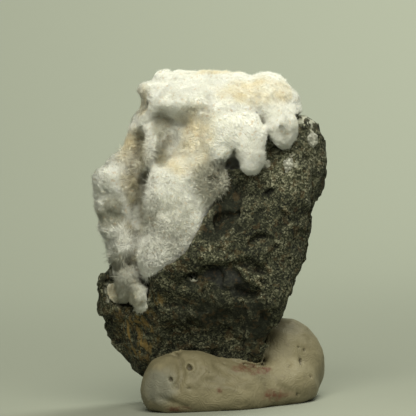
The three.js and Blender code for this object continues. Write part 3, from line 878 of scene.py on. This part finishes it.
def growth(points):
    """Unit directions in which the fibres grow at points: away from the nearest starts."""
    starts = upright(STARTS)
    bent = points + GROWTH_BEND * drift(points, 3.0, 2, DRIFT_SEEDS)
    away = np.linalg.norm(bent[:, None] - starts[None], axis=2)
    share = np.exp(-PUFF_CRISPNESS * (away - away.min(axis=1, keepdims=True)))
    share /= share.sum(axis=1, keepdims=True)
    return unit(points - share @ starts)


soft_okenite = soften(okenite_grid, 12)
okenite_points, okenite_faces, okenite_normals = main_surface(okenite_grid)
okenite_growth = growth(okenite_points)
lumps, _ = cells(okenite_points + 0.6 * relief(okenite_points, 2.0, 2, 6.0)[:, None], 2.6, 1.0)
furrows = relief(8.0 * okenite_growth, 0.8, 2, 8.0)
okenite_height = 0.4 * (0.5 - lumps) + 0.45 * relief(okenite_points, 3.4, 2, 9.0) + 0.2 * furrows
okenite_height += 0.16 * relief(okenite_points, 0.8, 1, 2.0)
back = smooth(okenite_points[:, 1], 1, 5)
okenite_height += 0.7 * back * (relief(okenite_points, 5.0, 3, 17.0) - 0.4)
# Where it lies thin over the stone, it has no dips.
thickness = smooth(value_at(basalt_grid, okenite_points), 0.3, 1.6)
okenite_height = np.maximum(okenite_height, okenite_height * thickness)
okenite_points = okenite_points + okenite_normals * okenite_height[:, None]

# Cream stain, grey and painted shade, warm painted shade, bare: (centre, radii, strength), for `patches`.
STAINED = [((8, -6, 57.0), (7, 8, 3.0)), ((13.2, -4, 57.0), (2.0, 6, 2.5)), ((3, -2, 60.8), (9, 8, 0.6)),
           ((-12.8, -6, 55.5), (1.6, 6, 2.2)), ((-2.2, -8, 50.5), (4.0, 6, 5)),
           ((-4, -9, 45.5), (5, 6, 4)), ((-14.0, -3, 46.5), (3.5, 9, 5.0)), ((-12, -2, 55), (2, 4, 4)),
           ((-14, -3, 41), (2.2, 4, 4))]
GREY_AND_SHADE = [((-8.6, -6, 51), (2.2, 5, 2.6)), ((13.0, -6, 49.6), (1.5, 5, 1.3)),
        ((-7, -11, 34), (4.5, 6, 5.5), 0.35), ((-17.3, 0, 20.5), (2.2, 12, 2.5)),
        ((0.5, -9, 41), (4.0, 4, 4.5)), ((-18, 0, 34.5), (3.5, 5, 2)), ((-15, -1, 26), (3.0, 5, 3)),
        ((-14, 0, 21.0), (5, 12, 5.0)), ((-17.5, -3, 36.5), (2.5, 8, 2.0)),
        ((-8.5, -7, 45.5), (1.6, 5, 2.6)), ((-10, -8, 34), (1.5, 4, 4))]
HOLLOW_SHADE = [((-12.6, -4, 47.2), (1.3, 6, 3.8)), ((-13.4, -5, 39), (2.3, 6, 5.5)),
         ((-12.6, -5, 33), (1.2, 5, 3)), ((-14.3, -4, 43), (1.2, 5, 2.5)),
         ((-14.6, -5, 32.6), (2.2, 5, 2.2)), ((-13.6, -6, 27.5), (1.2, 5, 1.0)),
         ((-17.8, 0, 21.0), (1.8, 12, 2.4), 0.65), ((-13.0, 0, 20.5), (2.0, 12, 2.6), 0.5)]
BARE = [((0.4, -10, 41.6), (0.8, 3, 0.7)), ((1.6, -10, 42.6), (0.7, 3, 0.7)),
        ((-11.4, -6, 54.8), (0.5, 4, 1.2)), ((-14.5, -3, 26.6), (0.6, 4, 0.6))]


def okenite_values(points):
    """The soft masks of the okenite's colours at points: painted shade in its hollows, bare where it is thin.
    """
    depth = value_at(basalt_grid, points) + 0.25 * relief(points, 1.2, 2, 4.0)
    thin = 0.9 - 0.9 * smooth(depth, 0.0, 0.4)
    hollow = value_at(okenite_grid, points) - value_at(soft_okenite, points)
    return {"stained": patches(points, STAINED, 0.3, 4.0), "grey": patches(points, GREY_AND_SHADE, 0.3, 3.0),
            "hollow_shade": np.maximum(patches(points, HOLLOW_SHADE, 0.4, 1.5), 0.7 * smooth(hollow, 0.1, 0.6)),
            "bare": np.maximum(patches(points, BARE, 0.5, 1.2), thin)}


# Okenite colour: white, cream where stained, grey where thin over the stone, painted shade, a few rust
# specks.
OKENITE_MASKS = {"Stained": 0.0, "Grey": 0.0, "Hollow_shade": 0.0, "Bare": 0.0}
tints, given, result = new_group("okenite colour", OKENITE_MASKS, [])
tints.interface.new_socket("Color", in_out="OUTPUT", socket_type="NodeSocketColor")
tint = add_mix(tints, add_mottle(tints, 2.5, 2.5, 0.2), (0.86, 0.86, 0.80, 1), (0.93, 0.93, 0.90, 1))
stain = times(tints, given["Stained"], add_mottle(tints, 3.0, 2.0, 0.8))
tint = add_mix(tints, stain, tint, (0.80, 0.70, 0.48, 1))
# Painted shade: the grey also darkens shaded lobes, and the warm olive layer darkens hollows and channels.
for mask, strength, layer in (("Grey", 0.8, (0.42, 0.41, 0.33, 1)), ("Hollow_shade", 0.8, (0.33, 0.29, 0.17, 1)),
                              ("Bare", 0.85, (0.09, 0.085, 0.05, 1))):
    tint = add_mix(tints, times(tints, given[mask], strength), tint, layer)
specks = add_ramp(tints, add_mottle(tints, 0.7, 4.0, 0.4), (0.996, 0.0), (1.0, 1.0))
tint = add_mix(tints, times(tints, specks, 0.35), tint, (0.60, 0.38, 0.14, 1))
feed(tints, result["Color"], tint)


def add_okenite_colour(tree):
    """The okenite colour group in a material, fed by the masks at the points."""
    masks = {key: add_attribute(tree, key.lower()) for key in OKENITE_MASKS}
    return add_node(tree, "Group", masks, node_tree=tints).outputs["Color"]


okenite_material, tree, shader = new_material("okenite", {
    "Roughness": 0.55, "Subsurface Weight": 0.6, "Subsurface Radius": (1.0, 0.95, 0.8),
    "Subsurface Scale": 0.0004})
grown = add_node(tree, "Attribute", attribute_name="growth").outputs["Vector"]
silk = add_node(tree, "TexNoise", {"Vector": grown, "Scale": 22.0, "Detail": 3.0, "Roughness": 0.6})
silk = silk.outputs["Fac"]
# Painted sheen: the colour is streaked lighter and darker along the fibres, for light on them and shade
# between them.
painted_sheen = add_ramp(tree, silk, (0.3, 0.82), (0.7, 1.0))
silky = add_mix(tree, 1.0, add_okenite_colour(tree), painted_sheen, "MULTIPLY")
feed(tree, shader.inputs["Base Color"], silky)
add_bump(tree, shader, silk, 0.9, 0.0006)
okenite = piece_from(
    "okenite_mass", okenite_points, okenite_faces, okenite_material,
    okenite_values(okenite_points),
)
growth_values = okenite.data.attributes.new("growth", "FLOAT_VECTOR", "POINT").data
growth_values.foreach_set("vector", okenite_growth.astype(np.float32).ravel())
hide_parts("okenite_puffs")

# The fibres take the mass's colours at their places, painted shade included.
fibre_material, tree, shader = new_material("okenite_fibre", {"Roughness": 0.35})
feed(tree, shader.inputs["Base Color"], add_okenite_colour(tree))

# Where the fibres are long and stray.
SHAGGY = [((-11, -9, 36), (2.2, 6, 6)), ((-8, -11, 29), (5.5, 5, 5)), ((-11.5, -8, 47), (1.6, 4, 4)),
          ((-14, -4, 24), (4, 6, 3)), ((0.5, -10, 41), (4, 4, 4)), ((-16, -1, 29), (5, 5, 4)),
          ((-14.5, -2, 44), (2.5, 6, 4))]
# Each coat of fibres: its name, how many, their width and length, how far they stand up from the surface
# at least, and how much they keep to the shaggy places.
COATS = [(f"okenite_fibres_{number}", 36000, 0.075, 0.38, 0.35, 0.0) for number in range(4)]
COATS.append(("okenite_sprays", 8500, 0.14, 1.1, 0.15, 1.0))
FIBRE_DEPTH = 0.1
BARE_BORDER = 0.6
SHAGGY_LENGTH = 0.7
LIE_DOWN = 0.8


def needles(roots, directions, lengths, widths, rng):
    """Closed three-sided needles from their roots, in mm: their points and faces."""
    count = len(roots)
    side = np.cross(directions, rng.normal(size=(count, 3)))
    side /= np.linalg.norm(side, axis=1, keepdims=True)
    other = np.cross(directions, side)
    points = np.empty((count, 4, 3))
    for corner in range(3):
        angle = corner * 2 * math.pi / 3
        spoke = math.cos(angle) * side + math.sin(angle) * other
        points[:, corner] = roots + 0.5 * widths[:, None] * spoke
    points[:, 3] = roots + directions * lengths[:, None]
    faces = np.array([[0, 1, 3], [1, 2, 3], [2, 0, 3], [2, 1, 0]])
    faces = (faces[None] + 4 * np.arange(count)[:, None, None]).reshape(-1, 3)
    return points.reshape(-1, 3), faces


fibre_rng = np.random.default_rng(23)
area = np.linalg.norm(face_normals(okenite_points, okenite_faces), axis=1)
centres = okenite_points[okenite_faces].mean(axis=1)
area[value_at(basalt_grid, centres) < BARE_BORDER] = 0
steps = STEP * np.eye(3)
for name, count, width, length, least_rise, kept in COATS:
    share = area * (1 - kept + kept * patches(centres, SHAGGY))
    chosen = fibre_rng.choice(len(okenite_faces), count, p=share / share.sum())
    corner = okenite_points[okenite_faces[chosen]]
    a, b = fibre_rng.random((2, count, 1))
    near_side = corner[:, 0] * (1 - a) + corner[:, 1] * a
    far_side = corner[:, 3] * (1 - a) + corner[:, 2] * a
    place = near_side * (1 - b) + far_side * b
    slope = [value_at(soft_okenite, place + s) - value_at(soft_okenite, place - s) for s in steps]
    outward = unit(np.stack(slope, 1))
    shaggy = patches(place, SHAGGY)
    stray = (0.25 + 0.3 * shaggy)[:, None] * fibre_rng.normal(size=outward.shape)
    axis = growth(place) + 0.4 * drift(place, 1.3, 1, DRIFT_SEEDS) + stray
    rise = (axis * outward).sum(axis=1, keepdims=True)
    wanted = np.clip(rise, least_rise, None) * (1 - LIE_DOWN * kept) + least_rise * LIE_DOWN * kept
    axis = unit(axis + (wanted - rise) * outward)
    lengths = length + SHAGGY_LENGTH * shaggy * fibre_rng.random(count)
    lengths = lengths * fibre_rng.uniform(0.5, 1.6, count)
    widths = width * fibre_rng.uniform(0.6, 1.3, count)
    roots = place - FIBRE_DEPTH * axis
    points, faces = needles(roots, axis, lengths + FIBRE_DEPTH, widths, fibre_rng)
    values = {key: np.repeat(value, 4) for key, value in okenite_values(place).items()}
    fibres = piece_from(name, points, faces, fibre_material, values)

# ---------------------------------------------------------------- museum putty
# A kneaded lump of oily putty, pressed round the stone's foot with the fingers. It keeps the folds and
# fingerprints of the kneading, and has picked up red clay.

# The broad folds of the lump, for `swell`, and its small pits and dents, for `mould`.
FOLDS = [
    (0.5, 2.2, (-9.7, 8.5)),
    (0.5, 2.2, (-2.9, 8.8), (-0.7, 8.1)),
    (-0.7, 0.7, (-6.5, 10.6), (-5.4, 8.5), (-5.0, 5.9), (-5.8, 3.8)),
    (-0.35, 0.5, (-4.3, 9.5), (-2.5, 8.8), (-2.0, 7.0), (-3.2, 5.6)),
    (-0.4, 0.5, (-9.0, 2.0), (-6.8, 1.3), (-4.3, 0.4)),
    (0.4, 1.0, (2.2, 4.1), (4.3, 3.1), (6.1, 2.0)),
    (-0.35, 0.6, (-0.7, 5.2), (2.2, 4.5), (5.4, 5.2)),
    (-0.3, 0.5, (1.1, 7.7), (3.6, 6.3), (6.5, 5.6)),
    (-0.7, 0.8, (5.0, 9.2), (7.6, 7.9), (9.7, 8.8)),
    (0.3, 1.2, (14.8, 10.3), (16.2, 6.7)),
    (-0.4, 0.6, (10.4, 6.7), (11.9, 4.5), (14.4, 3.1)),
    (-0.3, 0.5, (13.3, 14.6), (15.5, 14.2), (18.0, 12.4)),
]
KNEADING = [
    (-0.8, 0.24, (-4.0, 7.7), (-3.6, 7.4)),
    (-0.6, 0.2, (-7.2, 5.6), (-7.0, 5.2)),
    (-0.4, 0.25, (9.2, 8.3), (9.5, 7.7)),
    (-0.4, 0.2, (16.9, 10.8), (17.0, 10.6)),
    (-0.35, 0.18, (16.0, 11.2)),
    (-0.5, 0.25, (16.4, 9.0), (16.4, 8.1)),
    (-0.4, 0.25, (18.2, 5.9)),
    (-0.45, 0.3, (15.8, 2.5)),
    (-0.3, 0.2, (-4.1, 3.8), (-3.4, 3.6)),
    (-0.3, 0.2, (2.2, 8.5), (2.9, 8.1)),
    (-0.25, 0.2, (-0.4, 6.8), (0.0, 6.5)),
    (-0.3, 0.2, (14.0, 7.7), (14.4, 8.1)),
]
PUTTY_FACE_Y = -4.0
FLAT_BELOW = 0.12
putty_grid = soften(putty_form, 2)
swell(putty_grid, FOLDS, PUTTY_FACE_Y)
mould(putty_grid, KNEADING, 0.15)
putty_grid = np.minimum(putty_grid, np.maximum(putty_form - 0.25, basalt_form - 0.5))
putty_points, putty_faces, putty_normals = main_surface(putty_grid)
wrinkles = 0.2 * relief(putty_points, 4.0, 2, 12.0) - 0.16 * np.abs(relief(putty_points, 2.6, 3, 13.0))
putty_points = putty_points + putty_normals * wrinkles[:, None]
putty_points[:, 2] = np.where(putty_points[:, 2] < FLAT_BELOW, 0, putty_points[:, 2])
putty_hollows = value_at(soften(putty_grid, 4) - putty_grid, putty_points)

# Where it is smeared with red clay, bluish, and lighter with painted light, for `patches`.
SMEARED = [((6.2, -8, 8.2), (2.6, 8, 0.7), 1.6), ((9.0, -8, 7.6), (2.4, 8, 0.6), 1.6),
           ((1.6, -13, 4.7), (0.7, 3, 0.5)), ((12, -12, 3.5), (3.5, 5, 1.4)),
           ((-6, -12, 1.2), (2.5, 4, 0.5))]
BLUISH = [((-9, -11, 5), (3.5, 5, 3.5))]
PAINTED_LIGHT = [((15.5, -8, 10), (5, 9, 6)), ((1, -12, 3.5), (8, 5, 1.5))]
putty_material, tree, shader = new_material("putty", {"Roughness": 0.6})
clay = add_mix(tree, add_mottle(tree, 3.0, 2.5, 0.6), (0.145, 0.126, 0.071, 1), (0.225, 0.195, 0.118, 1))
# Painted light: the bulge that faces up and the front lip are lighter, as if lit more.
for mask, strength, layer in (("bluish", 0.5, (0.20, 0.21, 0.19, 1)),
                              ("painted_light", 0.6, (0.27, 0.235, 0.145, 1))):
    clay = add_mix(tree, add_attribute(tree, mask, strength), clay, layer)
specks = add_ramp(tree, add_grains(tree, 0.5, 1.0, 0.7), (0.9, 0.0), (1.0, 1.0))
clay = add_mix(tree, times(tree, specks, 0.35), clay, (0.16, 0.13, 0.09, 1))
smear = times(tree, add_attribute(tree, "smeared", 0.95), add_mottle(tree, 1.2, 3.5, 0.9))
clay = add_mix(tree, smear, clay, (0.12, 0.045, 0.024, 1))
# Painted shade in its hollows and creases.
clay = add_mix(tree, add_attribute(tree, "hollow", 0.8), clay, (0.05, 0.04, 0.025, 1))
feed(tree, shader.inputs["Base Color"], clay)
where = add_node(tree, "TexCoord").outputs["Object"]
swirl = add_node(tree, "TexNoise", {"Vector": where, "Scale": 200.0, "Detail": 2.5}).outputs["Fac"]
ridges = add_math(tree, "SINE", times(tree, swirl, 110.0))
ridges = times(tree, ridges, 0.35)
add_bump(tree, shader, add_math(tree, "ADD", ridges, add_mottle(tree, 0.6, 2.0)), 0.55, 0.00008)
putty = piece_from(
    "putty_lump", putty_points, putty_faces, putty_material,
    {"smeared": patches(putty_points, SMEARED, 0.5, 1.5), "bluish": patches(putty_points, BLUISH),
     "painted_light": patches(putty_points, PAINTED_LIGHT), "hollow": smooth(-putty_hollows, 0.08, 0.26)},
)
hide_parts("putty_holder")

# ---------------------------------------------------------------- floor, backdrop and light
# A pale card that curves up behind the specimen, a softbox overhead, a wash of light on the card and a
# weak even fill. The lamps don't show themselves.

CARD_FRONT_Y, CURVE_START_Y, CURVE_RADIUS = -1.5, 0.5, 0.5
CARD_TOP, CARD_HALF_WIDTH = 2.5, 3.0

bpy.context.scene.view_settings.view_transform = "Standard"
floor_mesh = bpy.data.meshes.new("floor")
profile = [(CARD_FRONT_Y, 0.0), (CURVE_START_Y, 0.0)]
for turn in np.linspace(0, math.pi / 2, 33)[1:]:
    rise = CURVE_RADIUS - CURVE_RADIUS * math.cos(turn)
    profile.append((CURVE_START_Y + CURVE_RADIUS * math.sin(turn), rise))
profile.append((CURVE_START_Y + CURVE_RADIUS, CARD_TOP))
floor_points = [(x, y, z) for y, z in profile for x in (-CARD_HALF_WIDTH, CARD_HALF_WIDTH)]
floor_faces = [(2 * i, 2 * i + 1, 2 * i + 3, 2 * i + 2) for i in range(len(profile) - 1)]
floor_mesh.from_pydata(floor_points, [], floor_faces)
floor_mesh.shade_smooth()
floor = new_object("floor", floor_mesh)
card, _, _ = new_material("pale_card", {
    "Base Color": (0.30, 0.315, 0.27, 1), "Roughness": 0.9, "Specular IOR Level": 0.2})
floor_mesh.materials.append(card)

world = bpy.data.worlds.new("studio")
world.use_nodes = True
world.node_tree.nodes["Background"].inputs["Color"].default_value = (0.97, 1.0, 0.82, 1)
world.node_tree.nodes["Background"].inputs["Strength"].default_value = 0.2
bpy.context.scene.world = world


def soft_light(name, place, size, power, colour, aim=(0, 0, 0.03)):
    """A square lamp of a size in metres and a power in watts, turned towards its aim."""
    light = bpy.data.lights.new(name, "AREA")
    light.size, light.energy, light.color = size, power, colour
    lamp = new_object(name, light)
    lamp.location = place
    lamp.visible_camera = False
    lamp.rotation_euler = (Vector(aim) - Vector(place)).to_track_quat("-Z", "Y").to_euler()


soft_light("top_softbox", (0.0, -0.13, 0.15), 0.13, 0.34, (1.0, 0.985, 0.83))
soft_light("backdrop_wash", (0.35, 0.3, 0.9), 0.6, 15.3, (0.98, 1.0, 0.86), (0.15, 1.0, 0.4))
